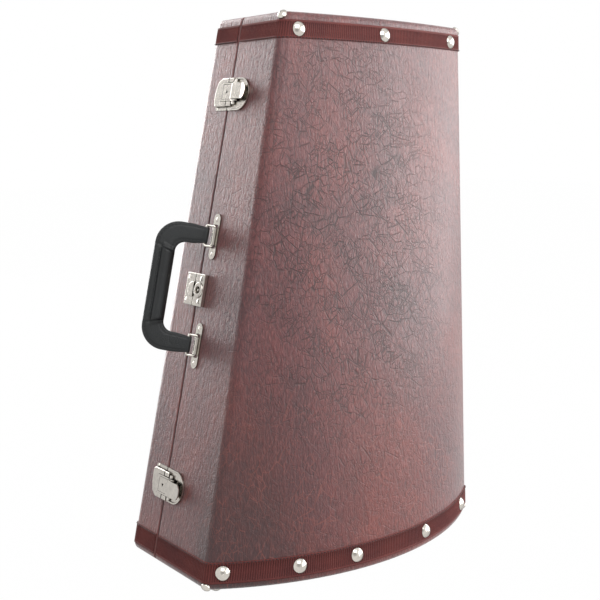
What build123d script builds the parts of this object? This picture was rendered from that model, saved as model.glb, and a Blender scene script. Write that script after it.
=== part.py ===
from build123d import *
from math import asin, atan2, cos, hypot, radians, sin, sqrt
import os

# A hard case for a bass trumpet, standing on its wide end.
# Directions while modelling: +Z up, the slanted side with the latches faces -X,
# the hinge side faces +X, the bowed deep half lies at -Y and the thin lid at +Y.
# Y = 0 is the seam, Z = 0 the underside of the bottom end. At the very end all
# pieces move together, so that the origin is under the middle of the whole case.

# Outer form
height = 618.0
hinge_side_x = 234.0
bottom_width = 422.0
top_width = 294.0
latch_depth_bottom = 110.0
latch_depth_top = 82.0
bow_radius_bottom = 355.0
bow_radius_top = 770.0
lid_depth = 57.0
seam_gap = 1.0

# Shell
board = 6.0
corner_radius = 12.0
end_radius = 7.0
mouth_radius = 2.2

# Cutting blocks and tools stand out of what they cut by these lengths
past_seam = 5.0
past_seam_inside = 9.0
past_tongue = 20.0
cut_over = 1.0

# Inside
tongue_thickness = 3.2
tongue_depth = 22.0
tongue_rise = 6.0
tongue_clearance = 0.6
lining = 2.5
lid_lining_behind_tongue = 2.0
saddle_top = 27.0
bell_saddle_from_bottom = 120.0
bell_saddle_width = 36.0
valve_saddle_below_middle = 9.0
valve_saddle_width = 32.0
neck_saddle_from_top = 118.0
neck_saddle_width = 26.0
# Each scoop is its x, its depth below the seam and its radius
bell_scoop = (10.0, 66.0, 44.0)
valve_scoops = ((-30.0, 62.0, 27.0), (60.0, 62.0, 36.0))
neck_scoops = ((20.0, 48.0, 15.0), (100.0, 48.0, 18.0))
pad_thickness = 9.0
pad_margin = 26.0
pad_crown_share = 0.7

# Webbing bands
band_thickness = 1.3
bottom_band_width = 23.0
bottom_band_edge = 8.0
top_band_width = 20.0
top_band_edge = 9.0

# Studs and feet
stud_radius = 8.2
stud_height = 4.4
corner_stud_radius = 5.6
corner_stud_height = 2.6
corner_stud_turn = 25.0
corner_stud_tilt = 34.0
stud_seat = 0.02
nail_radius = 1.2
nail_length = 3.4
nail_clearance = 0.05
foot_radius = 7.5
foot_height = 4.6
foot_flattening = 0.3
foot_inset = 20.0
foot_inset_from_face = 18.0
bottom_studs_from_latch_side = 19.0
bottom_studs_from_hinge_side = 34.0
bottom_stud_shares = (0, 0.217, 0.41, 0.72, 1)
top_studs_from_latch_side = 17.0
top_studs_from_hinge_side = 25.5
top_stud_shares = (0, 0.493, 1)

# Seats along the slanted side
seats_above_middle = 1.0
latch_spacing = 450.0
loop_spacing = 125.0

# Latch
latch_width = 37.0
latch_shift = 2.2
latch_reach = 40.5
strike_reach = 25.5
strike_foot = 4.2
strike_corner = (4.5, 4.0)
strike_shoulder = 11.0
strike_heel = 2.0
strike_edge_radius = 1.2
strike_rivet_from_end = 6.5
plate = 1.2
body_height = 4.4
body_corner = 5.0
body_top_radius = 1.4
rim_height = 2.6
rim_width = 1.5
rail_reach = 9.0
rail_radius = 1.0
curl_radius = 2.3
curl_behind_rail = 4.6
curl_h = 2.4
ridge_v = 7.0
ridge_length = 3.0
ridge_slope = 1.6
ridge_height = 3.0
ridge_inset = 3.0
lever_width = 17.6
lever_sheet = 1.2
lever_reach = 43.0
lever_roll = 3.2
lever_nose = 30.0
lever_lift = 1.4
lever_lift_length = 9.0
pivot_v = -14.5
pivot_h = 4.9
link_back = 5.3
link_drop = 0.7
hasp_width = 20.8
hasp_sheet = 1.2
hasp_front = 11.6
hasp_rear = -10.9
hasp_frame = 1.7
hasp_groove = 0.5
hasp_groove_depth = 0.35
hasp_lip = 1.2
hasp_lip_inset = 2.0
hasp_proud = 0.5
bed_clearance = 0.7
ear_thickness = 1.3
ear_radius = 1.9
ear_root_back = 5.8
ear_root_front = 1.4
link_eye_radius = 1.8
pin_radius = 1.0
pin_clearance = 0.04
latch_gap = 0.3

# Lock
lock_half = 18.6
lock_gap = 0.1
lock_height = 5.4
lock_length = 37.0
boss_radius = 8.8
boss_height = 1.4
lock_rivet_u = 12.9
lock_rivet_v = 12.6
lock_rivet_radius = 3.0
lock_rivet_height = 0.6
lock_edge_radius = 0.8
lid_boss_v = 3.4
key_v = -9.7
cylinder_radius = 4.6
cylinder_top = 6.2
keyway_outer = 3.9
keyway_inner = 1.4
keyway_floor = 0.8
plug_floor = 2.8
bolt_size = (12.0, 6.4, 1.5)
bolt_v = -8.6
bolt_h = 1.55
bolt_room = (26.0, 9.6, 2.2)
staple_size = (6.4, 5.2, 1.4)
staple_v = -2.0
staple_mouth = (9.0, 12.0, 2.2)
room_h = 1.6

# Handle
handle_v = -18.5
handle_pivot_h = 2.3
handle_lean = 40.0
handle_outer = 147.0
handle_inner = 102.0
leg_width = 18.6
handle_reach = 65.0
handle_gap_reach = 41.0
handle_sheet = 5.6
pad_width = 17.0
pad_half_thickness = 9.0
wire_radius = 1.4
loop_width = 23.0
loop_reach = 9.5
loop_plate_length = 52.0
loop_plate_width = 13.0
loop_plate_sheet = 1.4

# Hinges
hinge_from_end = 139.0
hinge_length = 44.0
knuckle_radius = 2.9
hinge_offset = 3.2
hinge_pin_radius = 1.4
hinge_running = 0.05
leaf_width = 19.0
leaf_sheet = 1.3
leaf_corner = 4.0
leaf_rivet_from_end = 6.0
leaf_rivet_stagger = 2.0
tab_overlap = 0.6
tab_inset = 0.15
pin_head_overhang = 0.9
pin_head_height = 1.0
knuckle_gap = 0.3

rivet_radius = 2.3
rivet_height = 0.9
rivet_shank = 1.1
rivet_depth = 1.0

slope = atan2(bottom_width - top_width, height)
side_length = hypot(bottom_width - top_width, height)
left_bottom = hinge_side_x - bottom_width
left_top = hinge_side_x - top_width
side_middle = side_length / 2 + seats_above_middle
mouth = seam_gap / 2


def latch_side_x(z):
    return left_bottom + (left_top - left_bottom) * z / height


def mix(bottom, top, z):
    return bottom + (top - bottom) * z / height


def bow_depth(x, z):
    """Depth of the bowed face below the seam at one of the two ends."""
    radius = mix(bow_radius_bottom, bow_radius_top, z)
    corner_x = latch_side_x(z)
    corner = mix(latch_depth_bottom, latch_depth_top, z)
    return corner + sqrt(radius**2 - x**2) - sqrt(radius**2 - corner_x**2)


def end_arc(z, inset, share):
    """A point (x, depth) on the arc of one end, at a share of its angle."""
    radius = mix(bow_radius_bottom, bow_radius_top, z) - inset
    left = asin((latch_side_x(z) + inset / cos(slope)) / radius)
    right = asin((hinge_side_x - inset) / radius)
    angle = left + (right - left) * share
    centre = bow_depth(0, z) - radius - inset
    return radius * sin(angle), centre + radius * cos(angle)


def face_depth(x, z, inset=0.0):
    """Depth of the ruled face between the two end arcs, at any height."""
    low, high = 0.0, 1.0
    for _ in range(40):
        share = (low + high) / 2
        bottom, top = end_arc(0, inset, share), end_arc(height, inset, share)
        if mix(bottom[0], top[0], z) < x:
            low = share
        else:
            high = share
    return mix(bottom[1], top[1], z)


def end_profile(z, inset, start):
    """Closed outline of the deep half at one end; start is its edge near the seam."""
    radius = mix(bow_radius_bottom, bow_radius_top, z) - inset
    centre_y = radius + inset - bow_depth(0, z)
    left = latch_side_x(z) + inset / cos(slope)
    right = hinge_side_x - inset
    depth = lambda x: centre_y - sqrt(radius**2 - x**2)
    middle = (left + right) / 2
    corners = [(left, start), (left, depth(left)), (right, depth(right)), (right, start)]
    points = [Vector(x, y, z) for x, y in corners]
    bow = ThreePointArc(points[1], Vector(middle, depth(middle), z), points[2])
    edges = [Line(points[0], points[1]), bow, Line(points[2], points[3])]
    return Face(Wire(edges + [Line(points[3], points[0])]))


def deep_block(inset, start, end_inset=0.0, corner=None):
    """The deep half as a solid whose walls lie inset from the outside."""
    ends = [end_profile(z, inset, start) for z in (0, height)]
    block = Solid.make_loft([end.outer_wire() for end in ends], ruled=True)
    corner = corner_radius - inset if corner is None else corner
    uprights = [e for e in block.edges() if abs(e.tangent_at(0.5).Z) > 0.9 and e.center().Y < start - 20]
    if corner > 0.3:
        block = fillet(uprights, corner)
    if end_inset:
        block = block & slab(end_inset, height - end_inset)
    return block


def thin_block(inset, start, end_inset=0.0, corner=None):
    """The lid as a solid whose walls lie inset from the outside."""
    back = lid_depth - inset
    wires = []
    for z in (0, height):
        left = latch_side_x(z) + inset / cos(slope)
        right = hinge_side_x - inset
        corners = [(left, start), (left, back), (right, back), (right, start)]
        wires.append(Wire(Polyline([(x, y, z) for x, y in corners], close=True).edges()))
    block = Solid.make_loft(wires, ruled=True)
    corner = corner_radius - inset if corner is None else corner
    uprights = [e for e in block.edges() if abs(e.tangent_at(0.5).Z) > 0.9 and e.center().Y > back - 1]
    if corner > 0.3:
        block = fillet(uprights, corner)
    if end_inset:
        block = block & slab(end_inset, height - end_inset)
    return block


def slab(low, high):
    size = 3 * height
    return Pos(0, 0, (low + high) / 2) * Box(size, size, high - low)


def layer(low, high):
    """Everything between two distances from the seam."""
    size = 3 * height
    return Pos(0, (low + high) / 2, height / 2) * Box(size, high - low, size)


def rounded_shell(block, start):
    """Rounds the end edges and the lip at the seam of an outer block."""
    def at_end(edge):
        box = edge.bounding_box()
        flat = box.max.Z - box.min.Z < 0.01
        return flat and abs(edge.center().Y - start) > 0.01 and min(box.min.Z, height - box.max.Z) < 0.01
    block = fillet([e for e in block.edges() if at_end(e)], end_radius)

    def at_lip(edge):
        box = edge.bounding_box()
        return max(abs(box.min.Y - start), abs(box.max.Y - start)) < 0.01
    return fillet([e for e in block.edges() if at_lip(e)], mouth_radius)


def along_side(u, v, h=0.0):
    """A place on the slanted side: u up the slope, v towards the lid, h outwards."""
    up = Vector(sin(slope), 0, cos(slope))
    out = Vector(-cos(slope), 0, sin(slope))
    origin = Vector(left_bottom, 0, 0) + up * u + Vector(0, v, 0) + out * h
    return Plane(origin=origin, x_dir=up, z_dir=out).location


def one(shape):
    """The single solid of a boolean result."""
    solids = shape.solids()
    assert len(solids) == 1, f"{len(solids)} solids where one was expected"
    return solids[0]


def bar(v_h_face, low, high):
    """Extrudes an outline drawn in (v, h) along u."""
    return Pos(low, 0, 0) * extrude(Plane.YZ * v_h_face, high - low)


def rod(radius, low, high, v, h):
    """A round pin along u."""
    return Pos((low + high) / 2, v, h) * Rot(0, 90, 0) * Cylinder(radius, high - low)


def plate_between(outline, low, high):
    return Pos(0, 0, low) * extrude(outline, high - low)


def dome(radius, rise):
    """A shallow round head with its flat side on z = 0."""
    sphere = (radius**2 + rise**2) / (2 * rise)
    cap = Pos(0, 0, rise - sphere) * Sphere(sphere)
    return cap & Pos(0, 0, rise) * Box(3 * radius, 3 * radius, 2 * rise)


def rivet(depth, radius=rivet_radius, rise=rivet_height):
    """A small domed rivet whose shank goes down by depth."""
    return dome(radius, rise) + Pos(0, 0, -depth / 2) * Cylinder(rivet_shank, depth)


def rivet_hole(depth):
    """The hole under a rivet's head, open above and closed at depth."""
    return Pos(0, 0, (cut_over - depth) / 2) * Cylinder(rivet_shank, cut_over + depth)


# Shells

def make_base_shell(outer):
    shell = outer - deep_block(board, past_seam, board)
    for place in face_places("bottom") + face_places("top") + corner_places + foot_places():
        shell -= place * nail_hole()
    return one(shell)


def make_lid_shell():
    outer = rounded_shell(thin_block(0, mouth), mouth)
    return one(outer - thin_block(board, -past_seam, board))


def make_tongue():
    """Wooden rim inside the deep half that reaches into the lid."""
    inner_inset = board + tongue_thickness
    inner = deep_block(inner_inset, past_tongue, inner_inset)
    low = deep_block(board, past_tongue, board) & layer(-tongue_depth, -mouth)
    high_inset = board + tongue_clearance
    high = deep_block(high_inset, past_tongue, high_inset) & layer(-tongue_depth, tongue_rise)
    rim = one((low + high) - inner)
    crest = rim.faces().sort_by(Axis.Y)[-1]
    return one(chamfer(crest.edges(), tongue_clearance))


def make_base_lining():
    inset = board + lining
    skin = deep_block(board, past_seam, board) - deep_block(inset, past_seam_inside, inset)
    return one(skin & layer(-2 * height, -tongue_depth))


def make_lid_lining():
    inset = board + lining
    skin = thin_block(board, -past_seam, board) - thin_block(inset, -past_seam_inside, inset)
    return one(skin & layer(tongue_rise + lid_lining_behind_tongue, 2 * height))


def make_saddle(low, high, scoops):
    """A padded cross support with rounded lips; scoops are (x, depth, radius)."""
    inset = board + lining
    block = deep_block(inset, past_seam, inset) & slab(low, high) & layer(-2 * height, -saddle_top)
    middle, length = (low + high) / 2, high - low + 2 * cut_over
    for x, depth, radius in scoops:
        hollow = Pos(x, -depth, middle) * Cylinder(radius, length)
        throat = Pos(x, -depth + radius, middle) * Box(2 * radius, 2 * radius, length)
        block = block - hollow - throat
    return one(block)


def make_lid_pad():
    """Soft pad on the lid's inside, crowned by its rounded rim."""
    back = lid_depth - board - lining
    margin = board + pad_margin
    wires = []
    for z in (0, height):
        left, right = latch_side_x(z) + margin / cos(slope), hinge_side_x - margin
        corners = [(left, back - pad_thickness), (left, back), (right, back), (right, back - pad_thickness)]
        wires.append(Wire(Polyline([(x, y, z) for x, y in corners], close=True).edges()))
    pad = Solid.make_loft(wires, ruled=True) & slab(margin, height - margin)
    front = pad.faces().sort_by(Axis.Y)[0]
    return one(fillet(front.edges(), pad_thickness * pad_crown_share))


# Webbing

bands_between = {
    "bottom": (bottom_band_edge, bottom_band_edge + bottom_band_width),
    "top": (height - top_band_edge - top_band_width, height - top_band_edge),
}


def make_band(block, low, high, keep):
    ring = block(-band_thickness, corner=corner_radius + band_thickness) - block(0.0)
    return one(ring & slab(low, high) & keep)


def make_bands():
    bands = {}
    deep = lambda inset, corner=None: deep_block(inset, past_seam, corner=corner)
    thin = lambda inset, corner=None: thin_block(inset, -past_seam, corner=corner)
    lip = mouth + mouth_radius
    for end, (low, high) in bands_between.items():
        band = make_band(deep, low, high, layer(-2 * height, -lip))
        for place in face_places(end):
            band -= place * nail_hole()
        bands[f"base_band_{end}"] = one(band)
        bands[f"lid_band_{end}"] = make_band(thin, low, high, layer(lip, 2 * height))
    return bands


# Studs

def face_place(x, z):
    """A place on the band over the bowed face, its z axis pointing out of the case."""
    step = 0.5
    depth = lambda a, b: face_depth(a, b, -band_thickness)
    turn = (depth(x + step, z) - depth(x - step, z)) / (2 * step)
    lean = (depth(x, z + step) - depth(x, z - step)) / (2 * step)
    out = Vector(-turn, -1, -lean).normalized()
    return Plane(origin=Vector(x, -depth(x, z), z) + out * stud_seat, z_dir=out).location


def make_stud(radius=stud_radius, rise=stud_height):
    return dome(radius, rise) + Pos(0, 0, -nail_length / 2) * Cylinder(nail_radius, nail_length)


def make_corner_stud(place, outer):
    """A stud whose rim is hammered down onto the rounded corner, up to the edge of the band."""
    sag = corner_stud_radius**2 / (2 * end_radius)
    skirt = Pos(0, 0, -sag / 2) * Cylinder(corner_stud_radius, sag)
    beyond_bands = slab(-height, bottom_band_edge) + slab(height - top_band_edge, 2 * height)
    head = one((place * (dome(corner_stud_radius, corner_stud_height) + skirt) & beyond_bands) - outer)
    root = corner_stud_height / 4
    nail = Pos(0, 0, (root - nail_length) / 2) * Cylinder(nail_radius, nail_length + root)
    return one(head + place * nail)


def nail_hole():
    deep = nail_length + stud_seat
    return Pos(0, 0, (cut_over - deep) / 2) * Cylinder(nail_radius + nail_clearance, cut_over + deep)


def make_foot():
    foot = make_stud(foot_radius, foot_height + foot_flattening)
    return foot & Pos(0, 0, foot_height - height / 2) * Box(height, height, height)


def face_places(end):
    """Stud places along the middle of a band, shared out between the two sides."""
    low, high = bands_between[end]
    middle = (low + high) / 2
    if end == "bottom":
        left = latch_side_x(0) + bottom_studs_from_latch_side
        right = hinge_side_x - bottom_studs_from_hinge_side
        shares = bottom_stud_shares
    else:
        left = latch_side_x(height) + top_studs_from_latch_side
        right = hinge_side_x - top_studs_from_hinge_side
        shares = top_stud_shares
    return [face_place(left + (right - left) * share, middle) for share in shares]


def corner_place(side, end):
    """On the ball-shaped corner where an end, a side wall and the bowed face meet."""
    z_end = 0 if end < 0 else height
    z = z_end - end * end_radius
    share = 0 if side < 0 else 1
    bottom, top = end_arc(0, corner_radius, share), end_arc(height, corner_radius, share)
    axis_x, axis_depth = mix(bottom[0], top[0], z), mix(bottom[1], top[1], z)
    turn, tilt = radians(corner_stud_turn), radians(corner_stud_tilt)
    level = Vector(side * cos(turn), -sin(turn), 0)
    out = level * cos(tilt) + Vector(0, 0, end * sin(tilt))
    centre = Vector(axis_x, -axis_depth, z) + level * (corner_radius - end_radius)
    return Plane(origin=centre + out * (end_radius + stud_seat), z_dir=out).location


corner_places = [corner_place(side, end) for side in (-1, 1) for end in (-1, 1)]


def foot_places():
    left, right = left_bottom + foot_inset, hinge_side_x - foot_inset
    spots = [(left, -foot_inset), (right, -foot_inset)]
    spots += [(x, -face_depth(x, 0) + foot_inset_from_face) for x in (left, right)]
    return [Pos(x, y, -stud_seat) * Rot(180, 0, 0) for x, y in spots]


# Hinges

def make_hinge(z):
    """Two leaves with interleaved knuckles and the pin between them."""
    axis_x = hinge_side_x + hinge_offset
    half, third = hinge_length / 2, hinge_length / 6
    clear = knuckle_radius + knuckle_gap

    def leaf(side, spans, bore):
        near, far = clear, leaf_width
        flat = Pos(hinge_side_x + leaf_sheet / 2, side * (near + far) / 2, 0)
        body = flat * Box(leaf_sheet, far - near, hinge_length)
        rounded = [e for e in body.edges() if abs(e.tangent_at(0.5).X) > 0.9 and abs(e.center().Y) > near + 1]
        body = fillet(rounded, leaf_corner)
        for low, high in spans:
            barrel = Pos(axis_x, 0, (low + high) / 2) * Cylinder(knuckle_radius, high - low)
            reach = near + tab_overlap
            tab = Pos(hinge_side_x + leaf_sheet / 2 + tab_inset, side * reach / 2, (low + high) / 2)
            body += barrel + tab * Box(leaf_sheet - 2 * tab_inset, reach, high - low)
        body -= Pos(axis_x, 0, 0) * Cylinder(bore, hinge_length + 2 * cut_over)
        for place in rivet_places(side):
            body -= place * rivet_hole(leaf_sheet + cut_over)
        return one(body)

    def rivet_places(side):
        out = Rot(0, 90, 0)
        across = side * (leaf_width + clear) / 2
        end, off = half - leaf_rivet_from_end, leaf_rivet_stagger
        spots = ((-off, -end), (off, 0), (-off, end))
        return [Pos(hinge_side_x + leaf_sheet, across + side * d, dz) * out for d, dz in spots]

    base = leaf(-1, [(-half, -third - knuckle_gap), (third + knuckle_gap, half)], hinge_pin_radius)
    lid = leaf(1, [(-third, third)], hinge_pin_radius + hinge_running)
    head = hinge_pin_radius + pin_head_overhang
    pin = Pos(axis_x, 0, 0) * Cylinder(hinge_pin_radius, hinge_length)
    for end in (-1, 1):
        pin += Pos(axis_x, 0, end * (half + pin_head_height / 2)) * Cylinder(head, pin_head_height)
    rivets = [[Pos(0, 0, z) * p * rivet(leaf_sheet) for p in rivet_places(s)] for s in (-1, 1)]
    move = Pos(0, 0, z)
    return move * base, move * lid, move * one(pin), rivets[0], rivets[1]


# Latches, drawn for the upper one: x is u, y is v, z is h

def d_outline(width, front, reach):
    """A plate outline with a round end towards -v."""
    radius = width / 2
    straight = Pos(0, (front - reach + radius) / 2) * Rectangle(width, front + reach - radius)
    return straight + Pos(0, -reach + radius) * Circle(radius)


def make_latch_base():
    """Round-ended dish with side rails by the seam and two ears for the lever."""
    front = -mouth - latch_gap
    outline = Pos(-latch_shift, 0) * d_outline(latch_width, front, latch_reach)
    inner = d_outline(latch_width - 2 * rim_width, front + past_seam, latch_reach - rim_width)
    inner = Pos(-latch_shift, 0) * inner
    dish = plate_between(outline, 0, plate)
    rear = Pos(0, -latch_reach - rail_reach, 0) * Box(2 * latch_width, 2 * latch_reach, 4 * body_height)
    dish += plate_between(outline - inner, plate, rim_height) & rear
    rail_inner = hasp_width / 2 + latch_gap
    rail_outer = latch_width / 2 - latch_shift - 0.1
    for side in (-1, 1):
        rail = Pos(side * (rail_inner + rail_outer) / 2, (front - rail_reach) / 2)
        rail = rail * Rectangle(rail_outer - rail_inner, front + rail_reach)
        block = plate_between(rail, 0, body_height)
        top = block.faces().sort_by(Axis.Z)[-1].edges()
        dish += fillet([e for e in top if e.center().Y < front - 0.1], rail_radius)
        ends = sorted((side * rail_inner, side * (rail_outer - 2)))
        dish += bar(Pos(-rail_reach - curl_behind_rail, curl_h) * Circle(curl_radius), *ends)
    ear_outer = lever_width / 2 - lever_sheet - latch_gap
    root = [(pivot_v - ear_root_back, 0), (pivot_v - ear_root_front, 0)]
    root += [(pivot_v + ear_radius, pivot_h), (pivot_v - ear_radius, pivot_h)]
    ear = make_face(Polyline(root, close=True)) + Pos(pivot_v, pivot_h) * Circle(ear_radius)
    for side in (-1, 1):
        low = side * ear_outer if side < 0 else ear_outer - ear_thickness
        dish += bar(ear, low, low + ear_thickness)
        dish -= rod(pin_radius, low - cut_over, low + ear_thickness + cut_over, pivot_v, pivot_h)
    return one(dish)


def make_strike():
    """Catch plate on the lid: bulging edge, a riveted foot strip, a sunk bed for the hasp."""
    front = mouth + latch_gap
    high, low = latch_width / 2 - latch_shift, -latch_width / 2 - latch_shift
    corner = (high - strike_corner[0], strike_reach - strike_corner[1])
    shoulder = (high, strike_reach - strike_shoulder)
    heel = (low, strike_reach - strike_heel)
    bulge = ThreePointArc(corner, (-latch_shift, strike_reach), heel)
    edges = [Line((high, front), shoulder), Line(shoulder, corner), bulge]
    edges += [Line(heel, (low, front)), Line((low, front), (high, front))]
    outline = make_face(edges)
    rounded = fillet(outline.vertices().sort_by(Axis.Y)[2:], strike_edge_radius)
    catch = plate_between(rounded, 0, plate)
    raised = outline & Pos(low + strike_foot + latch_width, 0) * Rectangle(2 * latch_width, 3 * latch_width)
    far = [v for v in raised.vertices() if v.X < 0 and v.Y > front + 1]
    body = plate_between(fillet(far, body_corner), plate, body_height)
    top = body.faces().sort_by(Axis.Z)[-1]
    catch += fillet([e for e in top.edges() if e.center().Y > front + 1], body_top_radius)
    bed_end = hasp_front + bed_clearance
    bed = Pos(0, (bed_end - 0.2) / 2, body_height)
    catch -= bed * Box(hasp_width + 2 * latch_gap, bed_end, 2 * (body_height - plate))
    ridge = [(ridge_v, plate), (ridge_v + ridge_length, plate)]
    ridge += [(ridge_v + ridge_length, ridge_height), (ridge_v + ridge_slope, ridge_height)]
    ridge = make_face(Polyline(ridge, close=True))
    catch += bar(ridge, -hasp_width / 2 + ridge_inset, hasp_width / 2 - ridge_inset)
    catch -= strike_rivet_place() * rivet_hole(plate + cut_over)
    return one(catch)


def strike_rivet_place():
    return Pos(-latch_width / 2 - latch_shift + strike_foot / 2, strike_reach - strike_rivet_from_end, plate)


def make_lever():
    """Formed thumb lever: rolled front, lifted round end, two cheeks for the pins."""
    inner, outer = lever_roll - lever_sheet, lever_roll
    top = pivot_h + outer
    ring = Pos(pivot_v, pivot_h) * (Circle(outer) - Circle(inner))
    keep = [(0, 0)] + [(9 * cos(radians(a)), 9 * sin(radians(a))) for a in (lever_nose, 60, 90)]
    sector = Pos(pivot_v, pivot_h) * make_face(Polyline(keep, close=True))
    end_v = -lever_reach
    under = top - lever_sheet
    bend_v = end_v + lever_lift_length
    sheet = [(pivot_v, top), (pivot_v, under), (bend_v, under), (end_v, under + lever_lift)]
    sheet += [(end_v, top + lever_lift), (bend_v, top)]
    half = lever_width / 2
    tongue = bar((ring & sector) + make_face(Polyline(sheet, close=True)), -half, half)
    round_end = plate_between(d_outline(lever_width, pivot_v + 6, lever_reach), 0, 20)
    tongue = tongue & round_end
    link_v, link_h = pivot_v - link_back, pivot_h - link_drop
    cheek = Pos(pivot_v, pivot_h) * Circle(inner + 0.2) + Pos(link_v, link_h) * Circle(link_eye_radius)
    web = [(pivot_v, pivot_h - inner - 0.1), (link_v, link_h - link_eye_radius)]
    web += [(link_v - 5, under + 0.1), (pivot_v, under + 0.1)]
    cheek += make_face(Polyline(web, close=True))
    for low in (-half, half - lever_sheet):
        tongue += bar(cheek, low, low + lever_sheet)
    tongue -= rod(pin_radius, -half - cut_over, half + cut_over, pivot_v, pivot_h)
    tongue -= rod(pin_radius, -half - cut_over, half + cut_over, link_v, link_h)
    return one(tongue)


def make_latch_pins():
    """Two short rivets on which the lever turns."""
    reach = lever_width / 2
    inner = reach - lever_sheet - latch_gap - ear_thickness
    spans = [(-reach, -inner), (inner, reach)]
    return [rod(pin_radius - pin_clearance, low, high, pivot_v, pivot_h) for low, high in spans]


def make_link_pin():
    reach = hasp_width / 2
    link_v, link_h = pivot_v - link_back, pivot_h - link_drop
    return rod(pin_radius - pin_clearance, -reach, reach, link_v, link_h)


def make_hasp():
    """Draw plate with a framed face, a small three-cornered hole, a hook lip and two arms."""
    half = hasp_width / 2
    high = body_height + hasp_proud
    low = high - hasp_sheet
    length = hasp_front - hasp_rear
    face = Pos(0, (hasp_front + hasp_rear) / 2) * Rectangle(hasp_width, length)
    hasp = plate_between(fillet(face.vertices().sort_by(Axis.Y)[-2:], 1.0), low, high)
    window = Pos(0, (hasp_front + hasp_rear) / 2 - 1)
    wide, tall = hasp_width - 2 * hasp_frame, length - 4
    frame = Rectangle(wide, tall) - Rectangle(wide - 2 * hasp_groove, tall - 2 * hasp_groove)
    hasp -= plate_between(window * frame, high - hasp_groove_depth, high + cut_over)
    hole = make_face(Polyline([(-2.2, 1.4), (2.2, 1.4), (0, -2.6)], close=True))
    hasp -= plate_between(Rot(0, 0, 90) * hole, 0, 20)
    lip_low = ridge_height + latch_gap
    lip = Pos(0, hasp_front - hasp_lip / 2, (lip_low + high) / 2)
    hasp += lip * Box(hasp_width - 2 * hasp_lip_inset, hasp_lip, high - lip_low)
    link_v, link_h = pivot_v - link_back, pivot_h - link_drop
    arm = [(hasp_rear + 0.5, low), (hasp_rear + 0.5, high), (link_v, link_h + 1.6), (link_v, link_h - 1.4)]
    arm = make_face(Polyline(arm, close=True)) + Pos(link_v, link_h) * Circle(link_eye_radius)
    arm_width = half - lever_width / 2 - latch_gap
    for start in (-half, half - arm_width):
        hasp += bar(arm, start, start + arm_width)
    hasp -= rod(pin_radius, -half - cut_over, half + cut_over, link_v, link_h)
    return one(hasp)


def place_latch(shape, upper):
    """Sets a latch piece on its seat; the lower latch is the mirror of the upper."""
    local = shape if upper else mirror(shape, Plane.YZ)
    return along_side(latch_u(1 if upper else -1), 0) * local


def latch_u(side):
    return side_middle + side * (latch_spacing / 2 + latch_shift)


# Lock, centred on the middle of the slanted side

def soft_box(width, low, high, length, radius=lock_edge_radius):
    """A box over v = low..high whose outer edges are rounded."""
    box = Pos(0, (low + high) / 2, width / 2) * Box(length, high - low, width)
    rounded = [e for e in box.edges() if e.center().Z > width * 0.4]
    return fillet(rounded, radius)


def lock_rivet_places(side):
    return [Pos(u, side * lock_rivet_v, lock_height) for u in (-lock_rivet_u, lock_rivet_u)]


def make_lock_case():
    """Half of the lock on the deep half: a hollow box round the bolt, with the key boss."""
    near = -mouth - lock_gap
    case = soft_box(lock_height, -lock_half, near, lock_length)
    boss = Pos(0, key_v, lock_height) * Cylinder(boss_radius, 2 * boss_height)
    boss = fillet(boss.edges().sort_by(Axis.Z)[-1], boss_height * 0.8)
    case += boss & Pos(0, near - lock_half / 2, 0) * Box(2 * lock_length, lock_half, 2 * lock_length)
    case -= Pos(0, key_v, 10) * Cylinder(cylinder_radius + hinge_running, 17)
    case -= Pos(0, key_v, room_h) * Box(*bolt_room)
    case -= Pos(0, near, room_h) * Box(*staple_mouth)
    for place in lock_rivet_places(-1):
        case -= place * rivet_hole(rivet_depth)
    return one(case)


def make_lock_bolt():
    """Flat bolt that slides along the seam behind the staple."""
    return Pos(0, bolt_v, bolt_h) * Box(*bolt_size)


def make_lock_cylinder():
    """Round plug with a ring-shaped keyway round its post."""
    length = cylinder_top - plug_floor
    plug = Pos(0, key_v, (plug_floor + cylinder_top) / 2) * Cylinder(cylinder_radius, length)
    keyway = Cylinder(keyway_outer, 2 * (length - keyway_floor)) - Cylinder(keyway_inner, 3 * length)
    return one(plug - Pos(0, key_v, cylinder_top) * keyway)


def make_lock_plate():
    """Half of the lock on the lid, with its part of the round boss."""
    near = mouth + lock_gap
    case = soft_box(lock_height, near, lock_half, lock_length)
    boss = Pos(0, lid_boss_v, lock_height) * Cylinder(boss_radius, 2 * boss_height)
    boss = fillet(boss.edges().sort_by(Axis.Z)[-1], boss_height * 0.8)
    case += boss & Pos(0, near + lock_half / 2, 0) * Box(2 * lock_length, lock_half, 2 * lock_length)
    for place in lock_rivet_places(1):
        case -= place * rivet_hole(rivet_depth)
    return one(case)


def make_staple():
    """Small tongue on the lid's half that enters the lock case beside the bolt."""
    return Pos(0, staple_v, room_h) * Box(*staple_size)


# Handle

def handle_frame(u=0.0):
    """Handle plane: x along the grip, y away from the case, z the thickness."""
    place = along_side(side_middle + u, handle_v, handle_pivot_h)
    return place * Rot(-handle_lean, 0, 0) * Rot(90, 0, 0)


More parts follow.
